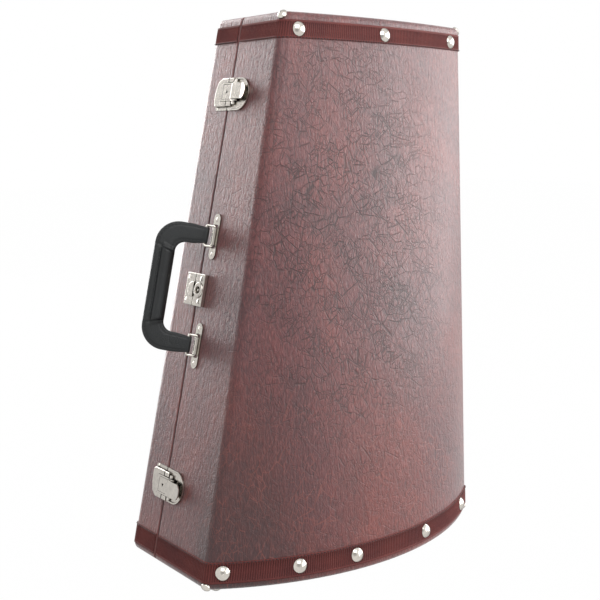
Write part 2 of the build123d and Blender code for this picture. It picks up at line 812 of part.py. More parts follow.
def make_handle():
    """Padded leather grip: a flat D with sewn legs and a swelling grip."""
    outer, inner, leg = handle_outer / 2, handle_inner / 2, leg_width / 2
    root = loop_spacing / 2
    outline = Pos(0, handle_reach / 2 + 8) * Rectangle(2 * outer, handle_reach - 16)
    outline = fillet(outline.vertices().sort_by(Axis.Y)[-2:], 27)
    tip = loop_reach
    for side in (-1, 1):
        taper = [(side * (root - leg), tip), (side * (root + leg), tip)]
        taper += [(side * outer, 24), (side * (inner + 1), 24)]
        outline += make_face(Polyline(taper, close=True))
    window = Pos(0, handle_gap_reach / 2 + 8) * Rectangle(handle_inner, handle_gap_reach - 16)
    window = fillet(window.vertices().sort_by(Axis.Y)[-2:], 11)
    gap = [(-inner, 17), (inner, 17), (root - leg, tip - 1), (-root + leg, tip - 1)]
    outline = outline - window - make_face(Polyline(gap, close=True))
    sheet = extrude(outline, handle_sheet / 2, both=True)
    flat_rims = [e for e in sheet.edges() if abs(abs(e.center().Z) - handle_sheet / 2) < 0.01]
    rims = [e for e in flat_rims if e.center().Y > 26]
    sheet = fillet(rims, handle_sheet * 0.32)
    middle = handle_gap_reach + pad_width / 2
    sections = []
    swells = [(inner + 3, 0.36), (inner - 3, 0.78), (inner - 22, 1)]
    for u, swell in [(-u, s) for u, s in swells] + swells[::-1]:
        half = handle_sheet / 2 + (pad_half_thickness - handle_sheet / 2) * swell
        shape = Ellipse(pad_width / 2 * (0.75 + 0.25 * swell), half if swell > 0.5 else half * 0.9)
        sections.append(Plane.YZ.offset(u) * Pos(middle, 0) * shape)
    sheet += loft(sections)
    for side in (-1, 1):
        eye = Pos(side * root, loop_reach, 0) * Rot(0, 90, 0)
        sheet += eye * Cylinder(wire_radius + 2.4, leg_width)
        sheet -= eye * Cylinder(wire_radius + 0.1, leg_width + 30)
    return one(sheet)


def make_wire_loop(side):
    """Rectangular ring of wire between a handle plate and a leg of the handle."""
    half = loop_width / 2
    path = Pos(side * loop_spacing / 2, loop_reach / 2) * Rectangle(loop_width, loop_reach)
    path = fillet(path.vertices(), wire_radius + 0.4).face().outer_wire()
    start = path.edges().sort_by(Axis.Y)[0]
    profile = Plane(origin=start @ 0.5, z_dir=start % 0.5) * Circle(wire_radius)
    return one(sweep(profile, path=path))


def make_loop_plate():
    """Oblong plate with a raised bridge that holds the ring's inner bar."""
    length, width = loop_plate_length, loop_plate_width
    outline = SlotOverall(length, width)
    body = plate_between(outline, 0, loop_plate_sheet)
    bridge_length = loop_width - 2 * wire_radius - 0.8
    height_over = handle_pivot_h + wire_radius + 1.3
    arch = Pos(0, 0, handle_pivot_h) * Rot(0, 90, 0) * Cylinder(wire_radius + 1.3, bridge_length)
    body += Pos(0, 0, handle_pivot_h / 2) * Box(bridge_length, 2 * (wire_radius + 1.3), handle_pivot_h)
    body += arch & Pos(0, 0, height_over / 2) * Box(60, 60, height_over)
    swing = loop_width + 2 * wire_radius + 1.2
    slots = Pos(0, 0, 0) * Box(swing, width - 4.2, 3 * loop_plate_sheet)
    slots -= Box(bridge_length, width, 10)
    body -= slots
    body -= Pos(0, 0, handle_pivot_h) * Rot(0, 90, 0) * Cylinder(wire_radius + 0.12, 40)
    for place in loop_rivet_places():
        body -= place * rivet_hole(loop_plate_sheet + 1)
    return one(body)


def loop_rivet_places():
    reach = loop_plate_length / 2 - 6.2
    return [Pos(side * reach, 0, loop_plate_sheet) for side in (-1, 1)]


def gather():
    """Every node with its solids."""
    outer = rounded_shell(deep_block(0, -mouth), -mouth)
    bell_low = bell_saddle_from_bottom
    valve_low = height / 2 - valve_saddle_below_middle
    neck_low = height - neck_saddle_from_top
    nodes = {
        "base_shell": make_base_shell(outer),
        "lid_shell": make_lid_shell(),
        "seam_tongue": make_tongue(),
        "base_lining": make_base_lining(),
        "lid_lining": make_lid_lining(),
        "lid_pad": make_lid_pad(),
        "bell_saddle": make_saddle(bell_low, bell_low + bell_saddle_width, [bell_scoop]),
        "valve_saddle": make_saddle(valve_low, valve_low + valve_saddle_width, valve_scoops),
        "neck_saddle": make_saddle(neck_low, neck_low + neck_saddle_width, neck_scoops),
        "face_studs_bottom": [place * make_stud() for place in face_places("bottom")],
        "face_studs_top": [place * make_stud() for place in face_places("top")],
        "corner_studs": [make_corner_stud(place, outer) for place in corner_places],
        "rest_feet": [place * make_foot() for place in foot_places()],
    }
    nodes.update(make_bands())
    base_rivets, lid_rivets = [], []
    for name, z in (("lower", hinge_from_end), ("upper", height - hinge_from_end)):
        base, lid, pin, base_set, lid_set = make_hinge(z)
        nodes[f"{name}_hinge_base_leaf"] = base
        nodes[f"{name}_hinge_lid_leaf"] = lid
        nodes[f"{name}_hinge_pin"] = pin
        base_rivets += base_set
        lid_rivets += lid_set
    nodes["hinge_rivets_base"] = base_rivets
    nodes["hinge_rivets_lid"] = lid_rivets
    makers = {"latch_base": make_latch_base, "latch_strike": make_strike, "latch_lever": make_lever,
              "latch_hasp": make_hasp, "latch_link_pin": make_link_pin}
    for name, make in makers.items():
        shape = make()
        nodes[f"upper_{name}"] = place_latch(shape, True)
        nodes[f"lower_{name}"] = place_latch(shape, False)
    for name, upper in (("upper", True), ("lower", False)):
        nodes[f"{name}_latch_pivots"] = [place_latch(pin, upper) for pin in make_latch_pins()]
    strike_rivet = strike_rivet_place() * rivet(plate, strike_foot / 2 - 0.3)
    nodes["strike_rivets"] = [place_latch(strike_rivet, upper) for upper in (True, False)]
    lock = along_side(side_middle, 0)
    nodes["lock_case"] = lock * make_lock_case()
    nodes["lock_bolt"] = lock * make_lock_bolt()
    nodes["lock_cylinder"] = lock * make_lock_cylinder()
    nodes["lock_lid_plate"] = lock * make_lock_plate()
    nodes["lock_staple"] = lock * make_staple()
    for name, side in (("base", -1), ("lid", 1)):
        head = rivet(rivet_depth, lock_rivet_radius, lock_rivet_height)
        nodes[f"lock_rivets_{name}"] = [lock * p * head for p in lock_rivet_places(side)]
    nodes["handle_grip"] = handle_frame() * make_handle()
    loop_plate = make_loop_plate()
    plate_rivets = []
    for name, side in (("upper", 1), ("lower", -1)):
        nodes[f"{name}_handle_ring"] = handle_frame() * make_wire_loop(side)
        seat = along_side(side_middle + side * loop_spacing / 2, handle_v)
        nodes[f"{name}_handle_plate"] = seat * loop_plate
        plate_rivets += [seat * p * rivet(loop_plate_sheet) for p in loop_rivet_places()]
    nodes["handle_plate_rivets"] = plate_rivets
    return nodes


def solids_of(shape):
    shapes = shape if isinstance(shape, list) else [shape]
    return [solid for item in shapes for solid in item.solids()]


def main():
    nodes = {name: solids_of(shape) for name, shape in gather().items()}
    whole = Compound([solid for solids in nodes.values() for solid in solids]).bounding_box()
    shift = Vector(-(whole.min.X + whole.max.X) / 2, -(whole.min.Y + whole.max.Y) / 2, -whole.min.Z)
    os.makedirs("parts", exist_ok=True)
    for name, solids in nodes.items():
        moved = [Location(shift) * solid for solid in solids]
        export_step(moved[0] if len(moved) == 1 else Compound(moved), f"parts/{name}.step")
    size = [round(v, 3) for v in whole.size]
    print("nodes", len(nodes), "size", size, "shift", [round(v, 4) for v in shift])

    def tell(name, point):
        print(name, [round(v / 1000, 6) for v in Vector(*point) + shift])

    up = Vector(sin(slope), 0, cos(slope))
    print("up the slanted side", [round(v, 6) for v in up])
    tell("lid_hinge", (hinge_side_x + hinge_offset, 0, height / 2))
    for name, sign in (("upper", 1), ("lower", -1)):
        u = latch_u(sign)
        tell(f"{name}_lever", along_side(u, pivot_v, pivot_h).position)
        tell(f"{name}_hasp", along_side(u, pivot_v - link_back, pivot_h - link_drop).position)
    tell("lock_key", along_side(side_middle, key_v, lock_height).position)
    tell("outer_ring_bar", (handle_frame() * Pos(0, loop_reach, 0)).position)
    tell("handle_swing", along_side(side_middle, handle_v, handle_pivot_h).position)
    tell("left_front_foot", (left_bottom + foot_inset, -foot_inset, -foot_height - stud_seat))


main()
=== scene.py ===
import bpy
import math
from mathutils import Euler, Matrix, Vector

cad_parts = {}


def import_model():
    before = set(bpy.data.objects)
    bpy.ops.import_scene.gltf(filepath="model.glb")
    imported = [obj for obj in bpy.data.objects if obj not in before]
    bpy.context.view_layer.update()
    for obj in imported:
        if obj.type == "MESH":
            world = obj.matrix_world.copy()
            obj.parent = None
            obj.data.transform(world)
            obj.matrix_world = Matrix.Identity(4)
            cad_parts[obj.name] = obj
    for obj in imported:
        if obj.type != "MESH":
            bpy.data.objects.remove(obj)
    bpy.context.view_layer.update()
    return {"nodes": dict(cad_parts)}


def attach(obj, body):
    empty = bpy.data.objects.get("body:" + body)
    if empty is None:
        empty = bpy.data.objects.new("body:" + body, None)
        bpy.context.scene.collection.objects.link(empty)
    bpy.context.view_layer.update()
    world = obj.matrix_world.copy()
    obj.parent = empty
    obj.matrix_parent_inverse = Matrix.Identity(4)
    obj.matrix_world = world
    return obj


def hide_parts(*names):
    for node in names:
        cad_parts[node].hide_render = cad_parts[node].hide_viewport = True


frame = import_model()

nodes = frame["nodes"]
scene = bpy.context.scene

# Sizes shared with the model, in millimetres, before the common shift
SHIFT = Vector((-26.1111, 54.1096, 4.62))
HEIGHT = 618.0
HINGE_X = 234.0
BOTTOM_WIDTH = 422.0
TOP_WIDTH = 294.0
BOW_RADII = (355.0, 770.0)
LATCH_DEPTHS = (110.0, 82.0)
LID_DEPTH = 57.0
CORNER = 12.0
BOARD = 6.0
LINING = 2.5
SEAM_Y = SHIFT.y / 1000
SLOPE = math.atan2(BOTTOM_WIDTH - TOP_WIDTH, HEIGHT)
MIDDLE_U = math.hypot(BOTTOM_WIDTH - TOP_WIDTH, HEIGHT) / 2 + 1.0
UP = Vector((math.sin(SLOPE), 0, math.cos(SLOPE)))
OUT = Vector((-math.cos(SLOPE), 0, math.sin(SLOPE)))


def world(point):
    """A point of the modelling frame, in metres, in the row frame."""
    return (Vector(point) + SHIFT) / 1000


def on_side(u, v, h):
    """A point over the slanted side: u up the slope, v towards the lid, h outwards."""
    return world(Vector((HINGE_X - BOTTOM_WIDTH, 0, 0)) + UP * u + Vector((0, v, 0)) + OUT * h)


def linear(channel):
    share = channel / 255
    return share / 12.92 if share <= 0.04045 else ((share + 0.055) / 1.055) ** 2.4


def srgb(red, green, blue):
    return (linear(red), linear(green), linear(blue), 1)


# A small helper that wires up shader nodes
class Graph:
    def __init__(self, name):
        self.material = bpy.data.materials.new(name)
        self.material.use_nodes = True
        self.tree = self.material.node_tree
        self.tree.nodes.clear()
        out = self.tree.nodes.new("ShaderNodeOutputMaterial")
        self.shader = self.tree.nodes.new("ShaderNodeBsdfPrincipled")
        self.tree.links.new(self.shader.outputs[0], out.inputs[0])

    def put(self, socket, value):
        if isinstance(value, bpy.types.NodeSocket):
            self.tree.links.new(value, socket)
        else:
            socket.default_value = value

    def node(self, kind, inputs=None, **settings):
        made = self.tree.nodes.new(kind)
        for key, value in settings.items():
            setattr(made, key, value)
        for key, value in (inputs or {}).items():
            self.put(made.inputs[key], value)
        return made

    def math(self, operation, a, b=0.0):
        return self.node("ShaderNodeMath", {0: a, 1: b}, operation=operation).outputs[0]

    def plus(self, a, b):
        return self.math("ADD", a, b)

    def minus(self, a, b):
        return self.math("SUBTRACT", a, b)

    def times(self, a, b):
        return self.math("MULTIPLY", a, b)

    def larger(self, a, b):
        return self.math("MAXIMUM", a, b)

    def mix(self, share, a, b, kind="MIX"):
        made = self.node("ShaderNodeMix", data_type="RGBA", blend_type=kind, clamp_factor=True)
        for socket, value in ((made.inputs[0], share), (made.inputs[6], a), (made.inputs[7], b)):
            self.put(socket, value)
        return made.outputs[2]

    def ramp(self, share, stops):
        made = self.node("ShaderNodeValToRGB", {0: share})
        elements = made.color_ramp.elements
        while len(elements) < len(stops):
            elements.new(0.5)
        for element, (position, color) in zip(elements, stops):
            element.position = position
            element.color = color
        return made.outputs[0]

    def step(self, value, low, high, to_low=0.0, to_high=1.0):
        inputs = {0: value, 1: low, 2: high, 3: to_low, 4: to_high}
        return self.node("ShaderNodeMapRange", inputs, interpolation_type="SMOOTHSTEP").outputs[0]

    def noise(self, vector, scale, detail=2.0, rough=0.5):
        inputs = {"Vector": vector, "Scale": scale, "Detail": detail, "Roughness": rough}
        return self.node("ShaderNodeTexNoise", inputs).outputs[0]

    def cells(self, vector, scale):
        inputs = {"Vector": vector, "Scale": scale, "Randomness": 1.0}
        return self.node("ShaderNodeTexVoronoi", inputs, feature="DISTANCE_TO_EDGE").outputs[0]

    def vector_math(self, operation, inputs):
        return self.node("ShaderNodeVectorMath", inputs, operation=operation).outputs[0]

    def warp(self, vector, scale, amount):
        """The vector, moved about by a noise of the given scale."""
        noise = self.node("ShaderNodeTexNoise", {"Vector": vector, "Scale": scale, "Detail": 2.0})
        centred = self.vector_math("SUBTRACT", {0: noise.outputs["Color"], 1: (0.5, 0.5, 0.5)})
        moved = self.vector_math("SCALE", {0: centred, "Scale": amount})
        return self.vector_math("ADD", {0: vector, 1: moved})

    def stretch(self, vector, scale, shift=(0, 0, 0)):
        inputs = {"Vector": vector, "Scale": scale, "Location": shift}
        return self.node("ShaderNodeMapping", inputs).outputs[0]

    def coords(self):
        return self.node("ShaderNodeTexCoord").outputs["Object"]

    def component(self, vector, axis):
        return self.node("ShaderNodeSeparateXYZ", {0: vector}).outputs[axis]

    def bump(self, height, strength, distance):
        inputs = {"Height": height, "Strength": strength, "Distance": distance}
        return self.node("ShaderNodeBump", inputs).outputs[0]

    def finish(self, **inputs):
        for key, value in inputs.items():
            self.put(self.shader.inputs[key.replace("_", " ")], value)
        return self.material


# Red-brown covering: nets of creases, upright grain and a cloudy dye, with painted shade in the creases, in
# the grain's hollows, at the seam and towards the lower left of the bowed face. Lengths in metres.
# Each net of dark creases: degrees, cell width, how much longer, half a line's width, size of a patch
CREASES = ((4, 0.0150, 1.9, 0.00052, 0.055), (-33, 0.0115, 1.7, 0.00048, 0.045),
           (38, 0.0125, 1.7, 0.00048, 0.050), (-8, 0.0060, 1.6, 0.00038, 0.040),
           (-16, 0.0220, 1.9, 0.00042, 0.080), (21, 0.0190, 1.8, 0.00042, 0.070))
# Where they lie closest, as a middle and a reach in x and z
WORN_MIDDLE = (-0.02, 0.40)
WORN_REACH = (0.14, 0.24)
# The y where the bowed face ends and where the slanted side has begun
FACE_END = (-0.05, -0.01)
# Half the width of the painted shade line at the seam, and of its soft edge
SEAM_PAINTED_SHADE = (0.0006, 0.0013)


def flattened(g, x, y, z):
    """Coordinates that lie flat on every wall: the way round the case and the height."""
    slant = g.plus(g.times(x, 0.25), g.times(y, 0.5))
    return g.node("ShaderNodeCombineXYZ", {0: g.minus(x, y), 1: g.plus(z, slant)}).outputs[0]


def patches(g, flat, size, shift):
    moved = g.stretch(flat, (1 / size, 1 / size, 1), shift)
    return g.step(g.noise(moved, 1.0), 0.42, 0.60)


def creases(g, flat, degrees, cell, longer, half_width, spot, shift):
    """A net of thin lines, drawn out at an angle from the upright and broken into patches."""
    inputs = {"Vector": flat, "Location": shift, "Rotation": (0, 0, math.radians(degrees)),
              "Scale": (cell, cell * longer, 1)}
    turned = g.node("ShaderNodeMapping", inputs, vector_type="TEXTURE").outputs[0]
    lines = g.step(g.cells(turned, 1.0), 0.0, half_width / cell, 1.0, 0.0)
    return g.times(lines, patches(g, flat, spot, shift))


def dark_creases(g, flat, x, y, z):
    """Every net of creases, whose darkness is painted shade, most of them on the upper middle of the bowed
    face.
    """
    drawn = None
    for number, (degrees, cell, longer, half_width, spot) in enumerate(CREASES):
        shift = (0.31 * number, 0.17 * number, 0)
        lines = creases(g, flat, degrees, cell, longer, half_width, spot, shift)
        drawn = lines if drawn is None else g.larger(drawn, lines)
    off_x = g.math("DIVIDE", g.minus(x, WORN_MIDDLE[0]), WORN_REACH[0])
    off_z = g.math("DIVIDE", g.minus(z, WORN_MIDDLE[1]), WORN_REACH[1])
    far = g.math("SQRT", g.plus(g.times(off_x, off_x), g.times(off_z, off_z)))
    worn = g.times(g.step(far, 0.50, 1.5, 1.0, 0.35), g.step(y, *FACE_END, 1.0, 0.45))
    return g.times(drawn, worn)


def pale_creases(g, flat, z):
    """Creases that are paler than the leather, low down."""
    upright = creases(g, flat, -14, 0.0130, 2.4, 0.0004, 0.070, (2.1, 1.3, 0))
    leaning = creases(g, flat, 24, 0.0100, 1.8, 0.0004, 0.055, (3.7, 0.9, 0))
    return g.times(g.larger(upright, leaning), g.step(z, 0.10, 0.30, 1.0, 0.0))


def warm_middle_and_painted_shade(g, color, x, y, low_down):
    """Warmer low in the middle of the bowed face, with painted shade towards its lower left."""
    off_middle = g.math("ABSOLUTE", g.minus(x, 0.01))
    warm = g.times(low_down, g.step(off_middle, 0.02, 0.12, 1.0, 0.0))
    color = g.mix(g.times(warm, 0.55), color, srgb(122, 50, 40))
    # Painted shade: darker low down towards the lower left of the bowed face
    painted_shade = g.times(low_down, g.step(x, -0.16, -0.06, 1.0, 0.0))
    return g.mix(g.times(painted_shade, g.step(y, *FACE_END, 0.75, 0.0)), color, srgb(52, 22, 22))


def cover_material():
    g = Graph("cover_leather")
    p = g.coords()
    x, y, z = (g.component(p, axis) for axis in range(3))
    flat = flattened(g, x, y, z)
    bent = g.warp(g.warp(flat, 12, 0.014), 90, 0.0014)
    deep = dark_creases(g, bent, x, y, z)
    pale = pale_creases(g, bent, z)
    flow = g.noise(g.stretch(g.warp(p, 40, 0.006), (1, 1, 0.16)), 260.0, 2.5, 0.5)
    fibre = g.noise(g.stretch(g.warp(flat, 90, 0.003), (1, 0.34, 1)), 380.0, 3.0, 0.55)
    pebble = g.noise(g.stretch(flat, (1, 0.6, 1)), 800.0, 2.0, 0.6)
    cloud = g.noise(g.warp(g.stretch(flat, (1, 0.7, 1)), 5.0, 0.12), 9.0, 4.0, 0.55)
    low_down = g.step(z, 0.08, 0.30, 1.0, 0.0)
    tints = [(0.32, srgb(80, 38, 41)), (0.46, srgb(93, 42, 44)),
             (0.57, srgb(104, 46, 45)), (0.70, srgb(122, 53, 47))]
    painted_hollow_shade = srgb(46, 21, 24)
    color = warm_middle_and_painted_shade(g, g.ramp(cloud, tints), x, y, low_down)
    speckle = g.minus(1.0, g.times(low_down, 0.5))
    color = g.mix(g.times(g.step(fibre, 0.50, 0.72, 0.0, 0.55), speckle), color, srgb(136, 80, 75))
    # Painted shade in the hollows of the flowing and upright grain
    color = g.mix(g.step(flow, 0.36, 0.50, 0.22, 0.0), color, painted_hollow_shade)
    color = g.mix(g.step(fibre, 0.32, 0.48, 0.45, 0.0), color, painted_hollow_shade)
    # Painted shade along the creases, where the relief is pressed in
    color = g.mix(g.times(deep, 0.78), color, srgb(26, 11, 13))
    color = g.mix(g.times(pale, 0.40), color, srgb(152, 80, 68))
    # Painted shade in the gap at the seam
    from_seam = g.math("ABSOLUTE", g.minus(y, SEAM_Y))
    color = g.mix(g.step(from_seam, *SEAM_PAINTED_SHADE, 0.92, 0.0), color, srgb(16, 8, 9))
    relief = g.plus(g.times(fibre, 1.9), g.times(pebble, 0.9))
    relief = g.plus(relief, g.times(flow, 1.8))
    relief = g.minus(relief, g.times(deep, 1.3))
    return g.finish(Base_Color=color, Roughness=g.plus(0.42, g.times(deep, 0.2)),
                    Specular_IOR_Level=0.45, Coat_Weight=0.35, Coat_Roughness=0.3, Sheen_Weight=0.25,
                    Sheen_Roughness=0.4, Sheen_Tint=(0.95, 0.90, 0.90, 1),
                    Normal=g.bump(relief, 0.7, 0.0008))


# Pitch of the webbing's cross threads and of the ply's layers
THREAD_PITCH = 0.0009
PLY_PITCH = 0.0032


def webbing_material():
    """Woven band: the ribs are modelled, their threads are drawn here, with painted shade in the valleys
    between the ribs.
    """
    g = Graph("ribbed_webbing")
    p = g.coords()
    thread = g.math("SINE", g.times(g.component(p, 2), 2 * math.pi / THREAD_PITCH))
    cloud = g.noise(p, 30.0, 3.0)
    fuzz = g.noise(p, 900.0, 2.0)
    painted_hollow_shade = g.node("ShaderNodeNewGeometry").outputs["Pointiness"]
    color = g.ramp(cloud, [(0.3, srgb(86, 38, 38)), (0.7, srgb(108, 50, 46))])
    color = g.mix(g.step(fuzz, 0.35, 0.75, 0.0, 0.35), color, srgb(130, 70, 64))
    # Painted shade in the valleys between the ribs, where the surface is hollow
    color = g.mix(g.step(painted_hollow_shade, 0.42, 0.5, 0.75, 0.0), color, srgb(34, 13, 15))
    color = g.mix(g.step(thread, -1.0, 0.2, 0.30, 0.0), color, srgb(54, 22, 24))
    relief = g.plus(g.times(thread, 0.5), fuzz)
    return g.finish(Base_Color=color, Roughness=0.7, Specular_IOR_Level=0.3, Sheen_Weight=0.15,
                    Sheen_Roughness=0.4, Sheen_Tint=(0.9, 0.6, 0.55, 1), Normal=g.bump(relief, 0.5, 0.0002))


def nickel_material():
    """Plated metal: bright, with painted shade in its seams and a painted reflection that darkens it where
    a curved face turns away.
    """
    g = Graph("bright_nickel")
    p = g.coords()
    cloud = g.noise(p, 160.0, 3.0)
    scratch = g.noise(g.stretch(p, (1, 6, 1)), 700.0, 3.0, 0.6)
    color = g.ramp(cloud, [(0.3, srgb(198, 192, 184)), (0.7, srgb(214, 208, 199))])
    # Painted reflection: a grey middle, a grey ring and dark edges where a curved face turns away from the
    # view
    facing = g.node("ShaderNodeLayerWeight", {"Blend": 0.5}).outputs["Facing"]
    grey, dark, full = (0.50, 0.50, 0.50, 1), (0.10, 0.10, 0.10, 1), (1, 1, 1, 1)
    stops = [(0.0, grey), (0.05, full), (0.42, full), (0.56, grey), (0.68, full), (0.90, dark)]
    color = g.mix(1.0, color, g.ramp(facing, stops), "MULTIPLY")
    # Painted shade in the seams and crevices between the nickel parts
    open_share = g.node("ShaderNodeAmbientOcclusion", {"Distance": 0.003}, samples=8).outputs["AO"]
    stops = [(0.30, (0.05, 0.05, 0.05, 1)), (0.62, (0.45, 0.44, 0.43, 1)), (0.88, full)]
    color = g.mix(1.0, color, g.ramp(open_share, stops), "MULTIPLY")
    rough = g.step(scratch, 0.35, 0.8, 0.16, 0.26)
    return g.finish(Base_Color=color, Metallic=1.0, Roughness=rough, Normal=g.bump(scratch, 0.12, 0.0001))


def handle_material():
    g = Graph("handle_leather")
    p = g.coords()
    pore = g.step(g.cells(g.warp(p, 300, 0.0015), 780), 0.0, 0.22, 1.0, 0.0)
    crease = g.step(g.cells(g.warp(g.stretch(p, (1, 1, 0.45)), 60, 0.006), 150), 0.0, 0.05, 1.0, 0.0)
    crease = g.times(crease, g.step(g.noise(p, 30.0), 0.5, 0.65))
    color = g.ramp(g.noise(p, 45.0, 3.0), [(0.3, srgb(20, 22, 23)), (0.7, srgb(34, 37, 38))])
    color = g.mix(g.times(pore, 0.35), color, srgb(16, 17, 18))
    relief = g.plus(g.times(pore, -0.5), g.times(crease, -1.0))
    return g.finish(Base_Color=color, Roughness=0.42, Specular_IOR_Level=0.4,
                    Normal=g.bump(relief, 0.45, 0.0004))


def thread_material(name, dark, light):
    g = Graph(name)
    twist = g.noise(g.coords(), 2500.0, 2.0)
    color = g.ramp(twist, [(0.3, dark), (0.7, light)])
    return g.finish(Base_Color=color, Roughness=0.6, Normal=g.bump(twist, 0.4, 0.0001))


def plush_material():
    g = Graph("dark_plush")
    p = g.coords()
    pile = g.noise(p, 1400.0, 3.0, 0.7)
    brushed = g.noise(g.warp(g.stretch(p, (1, 1, 0.5)), 20, 0.02), 26.0, 3.0)
    color = g.ramp(brushed, [(0.3, srgb(58, 22, 27)), (0.7, srgb(86, 34, 40))])
    color = g.mix(g.step(pile, 0.4, 0.75, 0.0, 0.5), color, srgb(112, 54, 58))
    return g.finish(Base_Color=color, Roughness=0.85, Sheen_Weight=0.7, Sheen_Roughness=0.35,
                    Sheen_Tint=(0.9, 0.55, 0.55, 1), Normal=g.bump(pile, 0.7, 0.0006))


def ply_material():
    g = Graph("stained_ply")
    p = g.coords()
    across = g.component(g.warp(p, 30, 0.003), 1)
    layer = g.math("SINE", g.times(across, 2 * math.pi / PLY_PITCH))
    fibre = g.noise(g.stretch(p, (1, 12, 0.4)), 260.0, 4.0, 0.6)
    color = g.ramp(fibre, [(0.3, srgb(96, 66, 44)), (0.7, srgb(134, 98, 66))])
    color = g.mix(g.step(layer, -0.2, 0.2, 0.0, 0.35), color, srgb(78, 50, 34))
    return g.finish(Base_Color=color, Roughness=0.55, Normal=g.bump(fibre, 0.4, 0.0004))


COVER = cover_material()
WEBBING = webbing_material()
NICKEL = nickel_material()
GRIP = handle_material()
PLUSH = plush_material()
PLY = ply_material()
RED_THREAD = thread_material("dark_red_thread", srgb(24, 10, 12), srgb(46, 20, 22))
BLACK_THREAD = thread_material("black_thread", srgb(14, 15, 16), srgb(34, 36, 37))

MATERIALS = {"base_shell": COVER, "lid_shell": COVER, "seam_tongue": PLY, "handle_grip": GRIP}
BANDS = ("base_band_bottom", "base_band_top", "lid_band_bottom", "lid_band_top")
SOFT = ("base_lining", "lid_lining", "lid_pad", "bell_saddle", "valve_saddle", "neck_saddle")
MATERIALS.update({name: WEBBING for name in BANDS})
MATERIALS.update({name: PLUSH for name in SOFT})
for name, obj in nodes.items():
    obj.data.materials.clear()
    obj.data.materials.append(MATERIALS.get(name, NICKEL))


# Building pieces. A stitch is its length, its radius and how deep its ends sink, in metres.
BAND_STITCH = (0.0027, 0.00055, 0.0005)
HANDLE_STITCH = (0.0024, 0.0004, 0.0004)


def add_piece(name, verts, faces, material, body, replaces=()):
    mesh = bpy.data.meshes.new(name)
    mesh.from_pydata([tuple(v) for v in verts], [], faces)
    mesh.update()
    mesh.materials.append(material)
    mesh.polygons.foreach_set("use_smooth", [True] * len(mesh.polygons))
    return ride(bpy.data.objects.new(name, mesh), body, replaces)


def ride(piece, body, replaces=()):
    scene.collection.objects.link(piece)
    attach(piece, body)
    if replaces:
        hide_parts(*replaces)
    return piece


def smoothed(piece):
    smooth = piece.modifiers.new("smooth", "SUBSURF")
    smooth.levels = smooth.render_levels = 1


def skin(rings, closed=True):
    """Vertices and faces through rings of equal length, capped where they close."""
    count = len(rings[0])
    verts = [point for ring in rings for point in ring]
    faces = []
    for i in range(len(rings) - 1):
        for j in range(count if closed else count - 1):
            k = (j + 1) % count
            faces.append((i * count + j, i * count + k, (i + 1) * count + k, (i + 1) * count + j))
    if closed:
        faces.append(tuple(reversed(range(count))))
        faces.append(tuple(range((len(rings) - 1) * count, len(rings) * count)))
    return verts, faces


def stitches(name, places, material, body, size):
    """Short threads lying over a surface, dipping in at both ends; places are (point, along, out)."""
    length, radius, sink = size
    verts, faces = [], []
    steps, sides = 6, 6
    for point, along, out in places:
        along = along.normalized()
        out = out.normalized()
        across = along.cross(out)
        rings = []
        for i in range(steps + 1):
            t = i / steps * 2 - 1
            centre = point + along * (length / 2 * t) + out * (radius * 0.7 - sink * t**4)
            thick = radius * (1 - 0.55 * t * t)
            turns = [2 * math.pi * j / sides for j in range(sides)]
            rings.append([centre + (across * math.cos(a) + out * math.sin(a)) * thick for a in turns])
        more_verts, more_faces = skin(rings)
        start = len(verts)
        verts += more_verts
        faces += [tuple(start + k for k in face) for face in more_faces]
    return add_piece(name, verts, faces, material, body)


# The case's outline at any height
def latch_x(z):
    return HINGE_X - BOTTOM_WIDTH + (BOTTOM_WIDTH - TOP_WIDTH) * z / HEIGHT


def mixed(bottom, top, z):
    return bottom + (top - bottom) * z / HEIGHT


def bow_point(z, inset, share):
    """A point of the bowed wall at height z, moved inwards by inset."""
    ends = []
    for end, whole, depth in zip((0.0, HEIGHT), BOW_RADII, LATCH_DEPTHS):
        radius = whole - inset
        left = math.asin((latch_x(end) + inset / math.cos(SLOPE)) / radius)
        right = math.asin((HINGE_X - inset) / radius)
        angle = left + (right - left) * share
        centre = depth - math.sqrt(whole**2 - latch_x(end) ** 2)
        ends.append((radius * math.sin(angle), -(centre + radius * math.cos(angle))))
    return Vector((mixed(ends[0][0], ends[1][0], z), mixed(ends[0][1], ends[1][1], z)))


def round_corner(centre, radius, start, end, steps=12):
    angles = [start + (end - start) * k / steps for k in range(steps + 1)]
    return [centre + Vector((math.cos(a), math.sin(a))) * radius for a in angles]


def deep_outline(z, proud, lip):
    """Points round the deep half at height z, from the latch side's lip to the hinge side's."""
    last = 90
    core = [bow_point(z, CORNER, s / last) for s in range(last + 1)]
    radius = CORNER + proud

    def normal(i):
        along = (core[min(last, i + 1)] - core[max(0, i - 1)]).normalized()
        return Vector((along.y, -along.x))
    first, final = normal(0), normal(last)
    turn_in = math.atan2(first.y, first.x) % (2 * math.pi)
    path = [Vector((core[0].x - radius, -lip))]
    path += round_corner(core[0], radius, math.pi, turn_in)
    path += [core[i] + normal(i) * radius for i in range(1, last)]
    path += round_corner(core[last], radius, math.atan2(final.y, final.x), 0.0)
    path.append(Vector((core[last].x + radius, -lip)))
    return path


def thin_outline(z, proud, lip):
    """The same round the thin lid."""
    radius = CORNER + proud
    left = Vector((latch_x(z) + CORNER / math.cos(SLOPE), LID_DEPTH - CORNER))
    right = Vector((HINGE_X - CORNER, LID_DEPTH - CORNER))
    path = [Vector((left.x - radius, lip))]
    path += round_corner(left, radius, math.pi, math.pi / 2)
    path += round_corner(right, radius, math.pi / 2, 0.0)
    path.append(Vector((right.x + radius, lip)))
    return path


